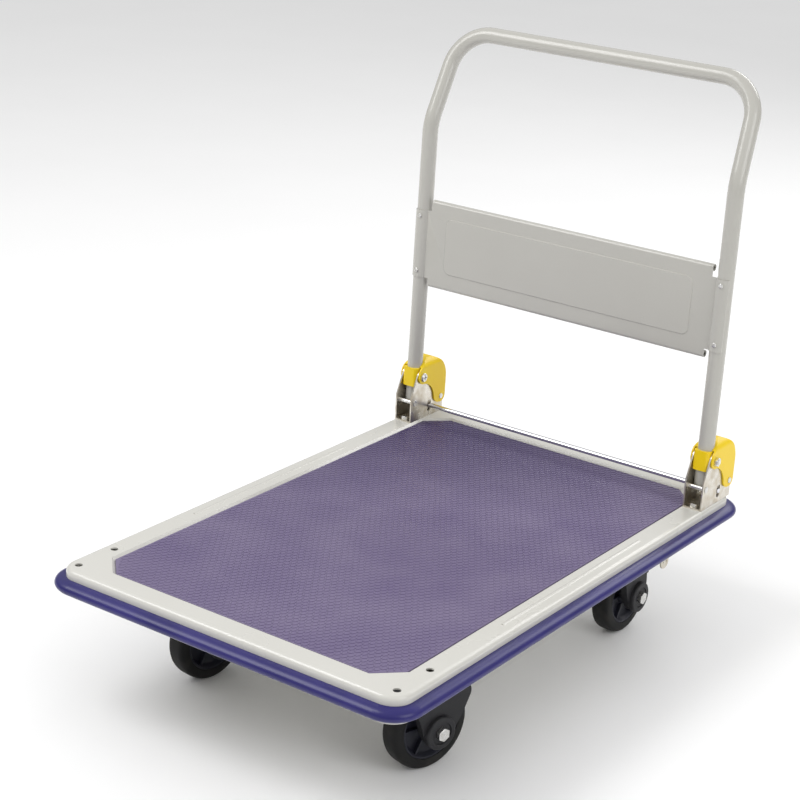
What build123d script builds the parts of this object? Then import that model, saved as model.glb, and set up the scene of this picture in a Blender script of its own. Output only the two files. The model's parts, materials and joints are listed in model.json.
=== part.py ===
from build123d import *
import math
import os

# Folding platform cart: a pressed steel deck on two swivel and two rigid casters, with a tubular
# handle that folds forward onto the deck. Millimetres, +Z up. The origin is on the floor under the
# middle of the deck, +X is to the right of a person who faces the handle and +Y is towards the handle.

# ---------------------------------------------------------------- driving dimensions
# deck
DECK_WIDTH = 610.0            # over the bumper
DECK_LENGTH = 910.0           # over the bumper
BUMPER_REACH = 16.0           # how far the bumper stands out from the plate
BUMPER_HEIGHT = 20.0
BUMPER_DROP = 21.0            # its middle below the mat's top
MAT_TOP = 204.0
MAT_THICK = 3.0
MAT_WIDTH = 498.0
MAT_LENGTH = 798.0
MAT_CHAMFER = 33.0
BORDER_RISE = 2.0             # the plate's border above the mat
PLATE = 2.0                   # sheet thickness of the deck plate
PLATE_CORNER = 30.0
PLATE_EDGE = 7.0              # rounding between the border and the skirt
SKIRT_BOTTOM = 168.0
LIP_WIDTH = 36.0              # return lip at the foot of the skirt
BEAD_X = 269.0
BEAD_LENGTH = 360.0
CHANNEL_BOTTOM = 162.0
CHANNEL_WEB = 116.0
CHANNEL_SHEET = 3.0
CHANNEL_HALF = 250.0          # half the channels' length, across the deck
CHANNEL_FLANGE = 16.0

# handle brackets and their fasteners
BRACKET_X = 270.0
BRACKET_FRONT = 337.5
BRACKET_REAR = 428.0
BRACKET_GAP = 27.0            # between the cheeks
CHEEK = 2.3
PIVOT_Y = 365.0
PIVOT_Z = 280.0
CHEEK_ROUND = 13.0
BOLT_Y = 381.0
BOLT_PITCH = 70.0
BOLT_R = 4.0                  # M8
M8_FLATS = 13.0
M8_HEAD = 5.3
M8_NUT = 6.5
M8_HOLE_R = BOLT_R + 0.5
BRACKET_BOLT = 60.0           # length under the head
WASHER_R = 8.5
WASHER = 1.6
SPACER_R = 7.0
SPARE_HOLE_R = 5.5
STOP_PIN_R = 3.75
STOP_Y = 347.7                # the upright post's lower end rests on this pin
STOP_Z = 238.5

# lock rod
ROD_Y = 389.0
ROD_Z = 224.5
ROD_R = 4.0
ROD_TRAVEL = 6.0
SLOT_R = 4.75
SLOT_LOW = 214.0
SLOT_HIGH = 234.0
DOG_R = 8.0
CLIP_R = 6.2

# handle
TUBE_R = 12.5
TUBE_WALL = 1.6
HANDLE_HALF = 270.0
HANDLE_TOP_HALF = 261.0
KINK_RISE = 421.0             # pivot to the bend, along the post
TOP_RISE = 153.0              # bend to the grip's axis, along the upper part
KINK_ANGLE = 22.0
KINK_R = 90.0
CORNER_R = 62.0
LEAN = 1.1                    # the upright handle leans back this much
TUBE_BELOW = 46.0             # tube below the pivot

# back panel
HEM_R = 5.5
HEM_HIGH = 295.0              # above the pivot, along the post
HEM_LOW = 162.5
HEM_HALF = 251.0
PANEL_SHEET = 1.6
PANEL_SETBACK = 7.2           # panel plane in front of the post's axis
TAB_LOW = 171.5
TAB_HIGH = 282.4
PANEL_SCREWS = (183.0, 273.3)
FIELD_HALF = 222.0            # raised field of the panel
FIELD_LOW = 185.0
FIELD_HIGH = 276.0
FIELD_RISE = 1.2

# hinge cover
COVER_WALL = 2.4
PAN_R = 7.6                   # hinge screw's head and its cross recess
PAN_HEAD = 3.4
CROSS_HALF = 4.8
CROSS_WIDE = 1.1
CROWN_FOOT = 15.0             # where the cover's sides turn into its crown, above the pivot
CROWN_TOP = 29.0
SLEEVE_LOW = -15.0            # the boxy collar round the post, about the pivot
SLEEVE_HIGH = 15.8
SLEEVE_DEPTH = 16.0
SLEEVE_CORNER = 6.0
TIP_Y = 53.5                  # tip pin behind and below the pivot
TIP_Z = -45.0
TIP_R = 3.0
TIP_HEAD_R = 4.7
TIP_HEAD = 2.0

# casters
WHEEL_R = 62.5
TREAD_HALF = 15.0
RIM_R = 47.0
HUB_HALF = 19.0
AXLE_R = 5.0
LEG_INNER = 20.5
LEG_OUTER = 31.0
BOSS_OUTER = 37.5
AXLE_SEAT = 36.0
BOSS_R = 24.0
FOOT_R = 22.5                 # the leg's own round end, inside the boss
NUT_POCKET_R = 16.0
CASTER_PLATE_TOP = CHANNEL_BOTTOM
CASTER_PLATE = 4.0
CASTER_PLATE_X = 86.0
CASTER_PLATE_Y = 106.0
PLATE_BOLT_X = 60.0
PLATE_BOLT_Y = 80.0
PLATE_BOLT = 20.0             # length under the head
CASTER_X = 189.0
CASTER_Y = 280.0              # caster plate centres, front and rear
TRAIL = 36.0                  # the front wheels stand this far behind their pivots, towards +Y
YAW_RIGHT = -15.0
YAW_LEFT = -8.0
RIGID_OFFSET = 6.0            # rear axle behind the plate's centre
HEAD_TOP = 87.5               # top of a fork's head above the axle
HEAD_R = 38.0
RACE_R = 26.0
BALL_R = 2.5
BALLS = 20

RUN = 0.05                    # running clearance on a radius
GAP = 0.3                     # clearance between moving faces

PLATE_TOP = MAT_TOP + BORDER_RISE
PLATE_HALF_X = DECK_WIDTH / 2 - BUMPER_REACH
PLATE_HALF_Y = DECK_LENGTH / 2 - BUMPER_REACH
MAT_FLOOR = MAT_TOP - MAT_THICK
HANDLE_UP = Location((0, PIVOT_Y, PIVOT_Z), (-LEAN, 0, 0))
SIDES = {"left": -1, "right": 1}
OUT = "parts"


# ---------------------------------------------------------------- helpers
def save(name, shape):
    shape = shape if isinstance(shape, (Solid, Compound)) else Compound(children=list(shape))
    shape.label = name
    export_step(shape, os.path.join(OUT, name + ".step"))


def group(solids):
    return Compound(children=[s if isinstance(s, Solid) else s.solid() for s in solids])


def block(x0, x1, y0, y1, z0, z1):
    box = Box(x1 - x0, y1 - y0, z1 - z0)
    return Pos((x0 + x1) / 2, (y0 + y1) / 2, (z0 + z1) / 2) * box


def rod_z(x, y, z0, z1, radius):
    return Pos(x, y, (z0 + z1) / 2) * Cylinder(radius, z1 - z0)


def rod_x(x0, x1, y, z, radius):
    return Pos((x0 + x1) / 2, y, z) * Rot(0, 90, 0) * Cylinder(radius, x1 - x0)


def prism_z(sketch, z0, z1):
    return Pos(0, 0, z0) * extrude(sketch, z1 - z0)


def side_prism(outline, x0, x1):
    """Extrudes an outline drawn as (y, z) from x0 to x1."""
    face = Plane.YZ * outline
    return Pos(x0, 0, 0) * extrude(face, x1 - x0, dir=(1, 0, 0))


def chamfered_sheet(half_x, half_y, cut):
    return Polygon(
        (half_x - cut, -half_y), (half_x, -half_y + cut), (half_x, half_y - cut), (half_x - cut, half_y),
        (-half_x + cut, half_y), (-half_x, half_y - cut), (-half_x, -half_y + cut), (-half_x + cut, -half_y),
        align=None,
    )


def hex_bolt(radius, across_flats, head, length, washer_face=0.0):
    """A hexagon bolt along -Z with its head's underside at z = 0."""
    shank = Pos(0, 0, -length / 2) * Cylinder(radius, length)
    cap = extrude(RegularPolygon(across_flats / 2, 6, major_radius=False), head)
    cap = cap & (Pos(0, 0, head / 2) * Cylinder(across_flats * 0.565, head))
    return cap + shank


def hex_nut(bore, across_flats, height):
    """A hexagon nut from z = 0 upwards."""
    body = extrude(RegularPolygon(across_flats / 2, 6, major_radius=False), height)
    body = body & (Pos(0, 0, height / 2) * Cylinder(across_flats * 0.565, height))
    return body - Pos(0, 0, height / 2) * Cylinder(bore, height + 2)


# ---------------------------------------------------------------- deck
def deck_plate():
    size = RectangleRounded(2 * PLATE_HALF_X, 2 * PLATE_HALF_Y, PLATE_CORNER)
    outer = prism_z(size, SKIRT_BOTTOM, PLATE_TOP)
    outer = fillet(outer.edges().group_by(Axis.Z)[-1], PLATE_EDGE)
    inner_x = 2 * (PLATE_HALF_X - PLATE)
    inner_y = 2 * (PLATE_HALF_Y - PLATE)
    inner = prism_z(
        RectangleRounded(inner_x, inner_y, PLATE_CORNER - PLATE), SKIRT_BOTTOM + PLATE, PLATE_TOP - PLATE
    )
    inner = fillet(inner.edges().group_by(Axis.Z)[-1], PLATE_EDGE - PLATE)
    slope = BORDER_RISE + MAT_THICK
    well = chamfered_sheet(MAT_WIDTH / 2, MAT_LENGTH / 2, MAT_CHAMFER)
    well_top = chamfered_sheet(MAT_WIDTH / 2 + slope, MAT_LENGTH / 2 + slope, MAT_CHAMFER + slope * 0.6)
    recess = loft([Pos(0, 0, MAT_FLOOR) * well, Pos(0, 0, PLATE_TOP) * well_top])
    under = chamfered_sheet(MAT_WIDTH / 2 + slope + 2, MAT_LENGTH / 2 + slope + 2, MAT_CHAMFER + slope * 0.6)
    inner = inner - prism_z(under, MAT_FLOOR - PLATE, PLATE_TOP)
    opening = RectangleRounded(2 * (PLATE_HALF_X - LIP_WIDTH), 2 * (PLATE_HALF_Y - LIP_WIDTH), 6)
    plate = outer - recess - inner - prism_z(opening, SKIRT_BOTTOM - 1, SKIRT_BOTTOM + PLATE + 1)
    for side in SIDES.values():
        bead = Pos(side * BEAD_X, 0, PLATE_TOP - 4.0) * Rot(90, 0, 0) * Cylinder(5.0, BEAD_LENGTH)
        ends = block(-400, 400, -BEAD_LENGTH / 2, BEAD_LENGTH / 2, PLATE_TOP - 0.5, PLATE_TOP + 2)
        plate = plate + (bead & ends)
        for end in (-1, 1):
            for bolt in (-0.5, 0.5):
                radius = SPARE_HOLE_R if end < 0 else M8_HOLE_R
                y = end * BOLT_Y + bolt * BOLT_PITCH
                plate = plate - rod_z(side * BRACKET_X, y, SKIRT_BOTTOM - 2, PLATE_TOP + 3, radius)
    return plate


def anti_slip_mat():
    sheet = prism_z(chamfered_sheet(MAT_WIDTH / 2, MAT_LENGTH / 2, MAT_CHAMFER), MAT_FLOOR, MAT_TOP)
    return chamfer(sheet.edges().group_by(Axis.Z)[-1], 0.6)


def bumper():
    """A D moulding that runs round the skirt; its flat back lies on the plate."""
    mid = MAT_TOP - BUMPER_DROP
    path = (Pos(0, 0, mid) * RectangleRounded(2 * PLATE_HALF_X, 2 * PLATE_HALF_Y, PLATE_CORNER)).wire()
    start = Plane(origin=(PLATE_HALF_X, 0, mid), x_dir=(1, 0, 0), z_dir=(0, 1, 0))
    half = BUMPER_HEIGHT / 2
    dome = Ellipse(BUMPER_REACH, half) & (Pos(BUMPER_REACH, 0) * Rectangle(2 * BUMPER_REACH, 2 * half + 2))
    profile = start * dome
    return sweep(profile, path=path)


def cross_channel(y):
    """A hat section across the deck, welded under it; the casters bolt to its web."""
    half = CHANNEL_WEB / 2
    top = MAT_FLOOR - PLATE
    outer = block(-CHANNEL_HALF, CHANNEL_HALF, y - half, y + half, CHANNEL_BOTTOM, top)
    web = half - CHANNEL_SHEET
    inner = block(-CHANNEL_HALF - 1, CHANNEL_HALF + 1, y - web, y + web, CHANNEL_BOTTOM + CHANNEL_SHEET, top + 1)
    hat = outer - inner
    for side in (-1, 1):
        edge = y + side * half
        far = edge + side * CHANNEL_FLANGE
        flange = block(-CHANNEL_HALF, CHANNEL_HALF, min(edge, far), max(edge, far), top - 2.5, top)
        hat = hat + flange
    return hat


def channel_holes(channel, centres, pin_radius):
    for x, y in centres:
        for dx, dy in plate_bolt_points():
            channel = channel - rod_z(x + dx, y + dy, CHANNEL_BOTTOM - 2, CHANNEL_BOTTOM + 8, M8_HOLE_R)
        if pin_radius:
            channel = channel - rod_z(x, y, CHANNEL_BOTTOM - 2, CHANNEL_BOTTOM + 8, pin_radius)
    return channel


def plate_bolt_points():
    return [(sx * PLATE_BOLT_X / 2, sy * PLATE_BOLT_Y / 2) for sx in (-1, 1) for sy in (-1, 1)]


# ---------------------------------------------------------------- handle brackets
def tangent_from(point, centre, radius, turn):
    """Where a line from a point touches a circle; turn is +1 or -1 for the side it touches."""
    away = Vector(*point) - Vector(*centre)
    bearing = math.atan2(away.Y, away.X) + turn * math.acos(radius / away.length)
    return (centre[0] + radius * math.cos(bearing), centre[1] + radius * math.sin(bearing))


def cheek_outline():
    """One cheek seen from the side as (y, z): upright front edge, sloping sides, round top at the pivot.
    The rear edge steps in above its foot so that the cover's tip pin swings past it."""
    foot = PLATE_TOP
    pivot = (PIVOT_Y, PIVOT_Z)
    front = (BRACKET_FRONT, foot + 44.0)
    waist = (PIVOT_Y + 43.0, foot + 33.0)
    body = Polygon(
        (BRACKET_FRONT, foot), (BRACKET_REAR, foot), (BRACKET_REAR, foot + 17.0), (BRACKET_REAR - 7.0, foot + 20.0),
        (PIVOT_Y + 44.0, foot + 22.0), waist, tangent_from(waist, pivot, CHEEK_ROUND, 1),
        tangent_from(front, pivot, CHEEK_ROUND, -1), front,
        align=None,
    )
    return body + Pos(*pivot) * Circle(CHEEK_ROUND)


def handle_bracket(side):
    centre = side * BRACKET_X
    half = BRACKET_GAP / 2
    outline = cheek_outline()
    cheeks = side_prism(outline, centre - half - CHEEK, centre - half)
    cheeks = cheeks + side_prism(outline, centre + half, centre + half + CHEEK)
    base = block(
        centre - half - CHEEK, centre + half + CHEEK, BRACKET_FRONT, BRACKET_REAR, PLATE_TOP, PLATE_TOP + CHEEK
    )
    bracket = cheeks + base
    x0 = centre - half - CHEEK - 1
    x1 = centre + half + CHEEK + 1
    bracket = bracket - rod_x(x0, x1, PIVOT_Y, PIVOT_Z, BOLT_R + RUN)
    bracket = bracket - rod_x(x0, x1, STOP_Y, STOP_Z, STOP_PIN_R)
    slot = Rot(0, 0, 90) * SlotOverall(SLOT_HIGH - SLOT_LOW, 2 * SLOT_R)
    slot = Pos(ROD_Y, (SLOT_LOW + SLOT_HIGH) / 2) * slot
    bracket = bracket - side_prism(slot, x0, x1)
    for bolt in (-0.5, 0.5):
        y = BOLT_Y + bolt * BOLT_PITCH
        bracket = bracket - rod_z(centre, y, PLATE_TOP - 1, PLATE_TOP + CHEEK + 1, M8_HOLE_R)
    return bracket


def stop_pins():
    pins = []
    for side in SIDES.values():
        centre = side * BRACKET_X
        reach = BRACKET_GAP / 2 + CHEEK
        pin = rod_x(centre - reach, centre + reach, STOP_Y, STOP_Z, STOP_PIN_R)
        for end in (-1, 1):
            x = centre + end * reach
            head = rod_x(min(x, x + end * 1.0), max(x, x + end * 1.0), STOP_Y, STOP_Z, 5.2)
            pin = pin + head
        pins.append(pin)
    return group(pins)


def bracket_fasteners():
    bolts = []
    washers = []
    nuts = []
    sleeves = []
    seat = PLATE_TOP + CHEEK
    for side in SIDES.values():
        for step in (-0.5, 0.5):
            x = side * BRACKET_X
            y = BOLT_Y + step * BOLT_PITCH
            bolts.append(Pos(x, y, seat) * hex_bolt(BOLT_R, M8_FLATS, M8_HEAD, BRACKET_BOLT))
            ring = rod_z(x, y, SKIRT_BOTTOM - WASHER, SKIRT_BOTTOM, WASHER_R)
            washers.append(ring - rod_z(x, y, SKIRT_BOTTOM - 5, SKIRT_BOTTOM + 1, BOLT_R + 0.3))
            nuts.append(Pos(x, y, SKIRT_BOTTOM - WASHER - M8_NUT) * hex_nut(BOLT_R, M8_FLATS, M8_NUT))
            low = SKIRT_BOTTOM + PLATE
            high = PLATE_TOP - PLATE
            sleeves.append(rod_z(x, y, low, high, SPACER_R) - rod_z(x, y, low - 1, high + 1, M8_HOLE_R))
    return group(bolts), group(washers), group(nuts), group(sleeves)


# ---------------------------------------------------------------- lock rod
def lock_rod():
    reach = BRACKET_X + BRACKET_GAP / 2 + CHEEK + 1.2
    rod = rod_x(-reach, reach, ROD_Y, ROD_Z, ROD_R)
    return chamfer(rod.edges().filter_by(GeomType.CIRCLE), 0.6)


def rod_clip():
    """A push-on collar on the rod beside the right-hand bracket's inner cheek."""
    outer = BRACKET_X - BRACKET_GAP / 2 - CHEEK - 0.4
    inner = outer - 6.0
    ring = rod_x(inner, outer, ROD_Y, ROD_Z, CLIP_R)
    return ring - rod_x(inner - 1, outer + 1, ROD_Y, ROD_Z, ROD_R)


def lock_dogs():
    """Steel dogs on the rod, one between each pair of cheeks, just outside the path of the post's end."""
    dogs = []
    for side in SIDES.values():
        centre = side * BRACKET_X
        half = BRACKET_GAP / 2 - 1.0
        outline = Pos(ROD_Y, ROD_Z) * Circle(DOG_R)
        outline = outline + Polygon(
            (ROD_Y - 8.0, ROD_Z - 1.0), (ROD_Y + 8.0, ROD_Z - 1.0), (ROD_Y + 3.0, ROD_Z + 11.0),
            (ROD_Y - 10.5, ROD_Z + 6.3), align=None,
        )
        dog = side_prism(outline, centre - half, centre + half)
        dogs.append(dog - rod_x(centre - half - 1, centre + half + 1, ROD_Y, ROD_Z, ROD_R))
    return group(dogs)


def lock_springs():
    """Conical springs that push the rod back up; they stand on the bracket's base between its bolts."""
    low = PLATE_TOP + CHEEK
    high = ROD_Z - DOG_R
    springs = []
    wire = 0.6
    path = Helix(pitch=(high - low - 2 * wire) / 4, height=high - low - 2 * wire - 0.1, radius=8.0, cone_angle=-12)
    profile = Plane(origin=path @ 0, z_dir=path % 0) * Circle(wire)
    coil = sweep(profile, path=path, is_frenet=True)
    for side in SIDES.values():
        springs.append(Pos(side * BRACKET_X, ROD_Y, low + wire + 0.05) * coil)
    return group(springs)


# ---------------------------------------------------------------- handle
def handle_path():
    lean = math.radians(KINK_ANGLE)
    top_y = TOP_RISE * math.sin(lean)
    top_z = KINK_RISE + TOP_RISE * math.cos(lean)
    points = [
        (-HANDLE_HALF, 0, -TUBE_BELOW),
        (-HANDLE_HALF, 0, KINK_RISE),
        (-HANDLE_TOP_HALF, top_y, top_z),
        (HANDLE_TOP_HALF, top_y, top_z),
        (HANDLE_HALF, 0, KINK_RISE),
        (HANDLE_HALF, 0, -TUBE_BELOW),
    ]
    return FilletPolyline(*points, radius=[KINK_R, CORNER_R, CORNER_R, KINK_R])


def handle_tube():
    path = handle_path()
    start = Plane(origin=path @ 0, z_dir=path % 0)
    solid = sweep(start * Circle(TUBE_R), path=path)
    bore = sweep(start * Circle(TUBE_R - TUBE_WALL), path=path)
    tube = solid - bore
    for side in (-1, 1):
        tube = tube - rod_x(side * HANDLE_HALF - 20, side * HANDLE_HALF + 20, 0, 0, BOLT_R)
        for rise in PANEL_SCREWS:
            hole = Pos(side * HANDLE_HALF, -TUBE_R, rise) * Rot(90, 0, 0) * Cylinder(1.6, 12)
            tube = tube - hole
    return HANDLE_UP * tube


def back_panel():
    inner = TUBE_R + 0.05
    outer = inner + PANEL_SHEET
    front = -PANEL_SETBACK - PANEL_SHEET / 2
    back = -PANEL_SETBACK + PANEL_SHEET / 2
    web_half = HANDLE_HALF - math.sqrt(inner * inner - back * back)
    flat = block(-web_half, web_half, front, back, TAB_LOW, TAB_HIGH)
    field = block(-FIELD_HALF, FIELD_HALF, front - FIELD_RISE, front + 0.1, FIELD_LOW, FIELD_HIGH)
    field = fillet(field.edges().filter_by(Axis.Y), 12)
    field = chamfer(field.faces().sort_by(Axis.Y)[0].edges(), 1.1)
    hollow = Pos(0, PANEL_SHEET, 0) * field
    sheet = flat + block(-HEM_HALF, HEM_HALF, front, back, HEM_LOW, HEM_HIGH)
    for rise in (HEM_LOW, HEM_HIGH):
        hem_y = front + HEM_R
        roll = rod_x(-HEM_HALF, HEM_HALF, hem_y, rise, HEM_R)
        roll = roll - rod_x(-HEM_HALF - 1, HEM_HALF + 1, hem_y, rise, HEM_R - PANEL_SHEET)
        sheet = sheet + roll
    for side in (-1, 1):
        shell = rod_z(side * HANDLE_HALF, 0, TAB_LOW, TAB_HIGH, outer)
        shell = shell - rod_z(side * HANDLE_HALF, 0, TAB_LOW - 1, TAB_HIGH + 1, inner)
        reach = outer * math.sin(math.radians(48))
        x_out = side * (HANDLE_HALF + reach)
        x_in = side * (HANDLE_HALF - outer - 1)
        window = block(min(x_in, x_out), max(x_in, x_out), -outer - 1, back, TAB_LOW, TAB_HIGH)
        wrap = shell & window
        sheet = sheet + wrap
    sheet = sheet + field
    sheet = sheet - hollow
    for side in (-1, 1):
        for rise in PANEL_SCREWS:
            hole = Pos(side * HANDLE_HALF, -TUBE_R, rise) * Rot(90, 0, 0) * Cylinder(1.6, 12)
            sheet = sheet - hole
    return HANDLE_UP * sheet


def panel_screws():
    screws = []
    seat = TUBE_R + 0.05 + PANEL_SHEET
    for side in (-1, 1):
        for rise in PANEL_SCREWS:
            shank = Cylinder(1.6, 9)
            head = Pos(0, 0, -4.5 - 1.0) * Cylinder(3.6, 2.0)
            head = fillet(head.edges().sort_by(Axis.Z)[0], 1.4)
            cross = block(-2.2, 2.2, -0.5, 0.5, -8, -5.6) + block(-0.5, 0.5, -2.2, 2.2, -8, -5.6)
            screw = shank + head - cross
            place = Pos(side * HANDLE_HALF, -seat + 4.5, rise) * Rot(-90, 0, 0)
            screws.append(HANDLE_UP * place * screw)
    return group(screws)


def cover_side():
    """Side outline of the hinge cover, (y, z) from the pivot, up to the top of its domed ridge."""
    with BuildSketch() as sketch:
        with BuildLine():
            rise = ThreePointArc((-5.0, 16.5), (8.0, 24.5), (27.0, 28.5))
            fall = ThreePointArc(rise @ 1, (54.5, 15.5), (66.0, -16.0))
            back = Line(fall @ 1, (66.0, -42.0))
            tip = ThreePointArc(back @ 1, (61.5, -52.5), (50.0, -54.5))
            toe = ThreePointArc(tip @ 1, (40.0, -51.5), (34.5, -42.0))
            hollow = ThreePointArc(toe @ 1, (23.5, -21.5), (3.0, -12.0))
            boss = ThreePointArc(hollow @ 1, (-8.0, -8.5), (-11.5, 4.0))
            ThreePointArc(boss @ 1, (-9.5, 12.0), rise @ 0)
        make_face()
    return sketch.sketch


def cover_section(centre, half):
    """The cover's section across its width, upright sides under a half-elliptical crown, run along Y."""
    crown = Pos(centre, CROWN_FOOT) * Ellipse(half, CROWN_TOP - CROWN_FOOT)
    sides = Pos(centre, CROWN_FOOT - 50.0) * Rectangle(2 * half, 100.0)
    return Pos(0, -40.0, 0) * extrude(Plane.XZ * (crown + sides), -140.0)


def cover_cavity():
    """What is hollow between the skirts: open in front and below. The roof's front part slopes up, because
    the cheeks' front edges come there when the handle is folded."""
    with BuildSketch() as sketch:
        with BuildLine():
            front = Line((-40.0, -70.0), (-40.0, 32.5))
            slope = Line(front @ 1, (-1.5, 15.5))
            roof = Line(slope @ 1, (30.0, 15.5))
            bend = ThreePointArc(roof @ 1, (53.5, 3.0), (63.5, -20.0))
            back = Line(bend @ 1, (63.5, -70.0))
            Line(back @ 1, front @ 0)
        make_face()
    return sketch.sketch


def hinge_cover(side):
    """Plastic cover that turns with the post: a sleeve round the post between the cheeks, joined over
    the cheeks' tops to two skirts and a domed back outside them."""
    centre = side * HANDLE_HALF
    skirt_in = BRACKET_GAP / 2 + CHEEK + GAP
    skirt_out = skirt_in + COVER_WALL
    solid = side_prism(cover_side(), centre - skirt_out, centre + skirt_out) & cover_section(centre, skirt_out)
    solid = solid - side_prism(cover_cavity(), centre - skirt_in, centre + skirt_in)
    rear_gate = block(centre - skirt_in, centre + skirt_in, 55, 70, -60, -51)
    solid = solid - rear_gate
    collar = Pos(centre, 0) * RectangleRounded(BRACKET_GAP - 0.3, 2 * SLEEVE_DEPTH, SLEEVE_CORNER)
    solid = solid + prism_z(collar, SLEEVE_LOW, SLEEVE_HIGH)
    solid = solid - rod_z(centre, 0, -40, 60, TUBE_R + 0.05)
    solid = solid - rod_x(centre - 30, centre + 30, 0, 0, BOLT_R)
    solid = solid - rod_x(centre - 30, centre + 30, TIP_Y, TIP_Z, TIP_R)
    return HANDLE_UP * solid


def cover_pins():
    pins = []
    reach = BRACKET_GAP / 2 + CHEEK + GAP + COVER_WALL
    for side in SIDES.values():
        centre = side * HANDLE_HALF
        pin = rod_x(centre - reach, centre + reach, TIP_Y, TIP_Z, TIP_R)
        for end in (-1, 1):
            x = centre + end * reach
            x2 = x + end * TIP_HEAD
            head = rod_x(min(x, x2), max(x, x2), TIP_Y, TIP_Z, TIP_HEAD_R)
            rims = head.edges().filter_by(GeomType.CIRCLE).sort_by(Axis.X)
            pin = pin + fillet(rims[-1] if end > 0 else rims[0], TIP_HEAD - 0.4)
        pins.append(HANDLE_UP * pin)
    return group(pins)


def hinge_bolts():
    """Pan head machine screws with a cross recess; their heads are on the left-hand faces."""
    bolts = []
    nuts = []
    reach = BRACKET_GAP / 2 + CHEEK + GAP + COVER_WALL
    for side in SIDES.values():
        centre = side * HANDLE_HALF
        inward = -side
        seat = centre + inward * reach
        end = centre + side * (reach + 6.0)
        shank = rod_x(min(seat, end), max(seat, end), 0, 0, BOLT_R)
        tip = seat + inward * PAN_HEAD
        head = rod_x(min(seat, tip), max(seat, tip), 0, 0, PAN_R)
        rim = head.edges().filter_by(GeomType.CIRCLE).sort_by(Axis.X)
        head = fillet(rim[-1] if inward > 0 else rim[0], 2.2)
        floor = tip - inward * 2.0
        for wide, tall in ((CROSS_HALF, CROSS_WIDE), (CROSS_WIDE, CROSS_HALF)):
            head = head - block(min(tip, floor), max(tip, floor), -wide, wide, -tall, tall)
        bolts.append(HANDLE_UP * (shank + head))
        nut = Pos(centre + side * reach, 0, 0) * Rot(0, 90 * side, 0) * hex_nut(BOLT_R, M8_FLATS, 5.0)
        nuts.append(HANDLE_UP * nut)
    return group(bolts), group(nuts)


# ---------------------------------------------------------------- casters
def place_caster(x, y, yaw):
    """Caster parts are drawn about the wheel's centre, axle along X, with the swivel pivot towards -Y."""
    return Location((x, y, WHEEL_R), (0, 0, yaw))


def wheel_parts():
    core = rod_x(-TREAD_HALF + 1, TREAD_HALF - 1, 0, 0, RIM_R)
    for side in (-1, 1):
        x0 = side * 5.0
        x1 = side * (TREAD_HALF + 1)
        dish = rod_x(min(x0, x1), max(x0, x1), 0, 0, RIM_R - 6.0)
        core = core - dish
    hub = rod_x(-HUB_HALF, HUB_HALF, 0, 0, 15.0)
    core = core + hub
    for k in range(6):
        rib = block(-TREAD_HALF + 3, TREAD_HALF - 3, -1.8, 1.8, 12, RIM_R - 3)
        core = core + Rot(60 * k, 0, 0) * rib
    core = core - rod_x(-30, 30, 0, 0, 9.0)
    tyre = rod_x(-TREAD_HALF, TREAD_HALF, 0, 0, WHEEL_R)
    tyre = fillet(tyre.edges().filter_by(GeomType.CIRCLE), 5.0)
    tyre = tyre - rod_x(-30, 30, 0, 0, RIM_R)
    bushes = []
    for side in (-1, 1):
        x0 = side * (HUB_HALF - 8)
        x1 = side * (HUB_HALF + 0.6)
        bush = rod_x(min(x0, x1), max(x0, x1), 0, 0, 9.0) - rod_x(-30, 30, 0, 0, AXLE_R + RUN)
        bushes.append(bush)
    return core, tyre, group(bushes)


def swivel_leg():
    """Side of a swivel fork, (y, z) about the axle: a boss below, a hood behind, a head over the pivot."""
    with BuildSketch() as sketch:
        with BuildLine():
            front = Line((-21.0, -9.4), (-27.0, 2.5))
            flare = ThreePointArc(front @ 1, (-38.0, 32.0), (-70.0, 70.0))
            side = Line(flare @ 1, (-TRAIL - HEAD_R, HEAD_TOP - 8.0))
            head = Line(side @ 1, (-TRAIL - HEAD_R, HEAD_TOP))
            top = Line(head @ 1, (-TRAIL + HEAD_R, HEAD_TOP))
            slope = Line(top @ 1, (12.0, 72.0))
            hood = Line(slope @ 1, (39.0, 61.5))
            shoulder = ThreePointArc(hood @ 1, (51.5, 53.5), (52.0, 41.5))
            back = Line(shoulder @ 1, (39.0, 14.5))
            foot = Line(back @ 1, (19.5, -12.2))
            ThreePointArc(foot @ 1, (0, -FOOT_R), front @ 0)
        make_face()
    return sketch.sketch


def rigid_leg():
    """Side of a rigid fork, (y, z) about the axle."""
    top = CASTER_PLATE_TOP - CASTER_PLATE - WHEEL_R
    with BuildSketch() as sketch:
        with BuildLine():
            front = Line((-21.5, -8.2), (-32.0, 9.5))
            edge = Line(front @ 1, (-39.0, 33.5))
            rise = Line(edge @ 1, (-42.0, top))
            head = Line(rise @ 1, (30.0, top))
            back = Line(head @ 1, (26.0, 38.5))
            low = Line(back @ 1, (22.6, -4.2))
            ThreePointArc(low @ 1, (0, -FOOT_R), front @ 0)
        make_face()
    return sketch.sketch


def axle_bosses():
    bosses = []
    for side in (-1, 1):
        x0 = side * (LEG_OUTER - 1)
        x1 = side * BOSS_OUTER
        boss = rod_x(min(x0, x1), max(x0, x1), 0, 0, BOSS_R)
        outer_edge = boss.edges().filter_by(GeomType.CIRCLE).sort_by(Axis.X)
        boss = fillet(outer_edge[-1] if side > 0 else outer_edge[0], 2.5)
        bosses.append(boss)
    return bosses


def nut_pockets(body):
    for side in (-1, 1):
        x0 = side * AXLE_SEAT
        x1 = side * (BOSS_OUTER + 1)
        body = body - rod_x(min(x0, x1), max(x0, x1), 0, 0, NUT_POCKET_R)
    return body


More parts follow.
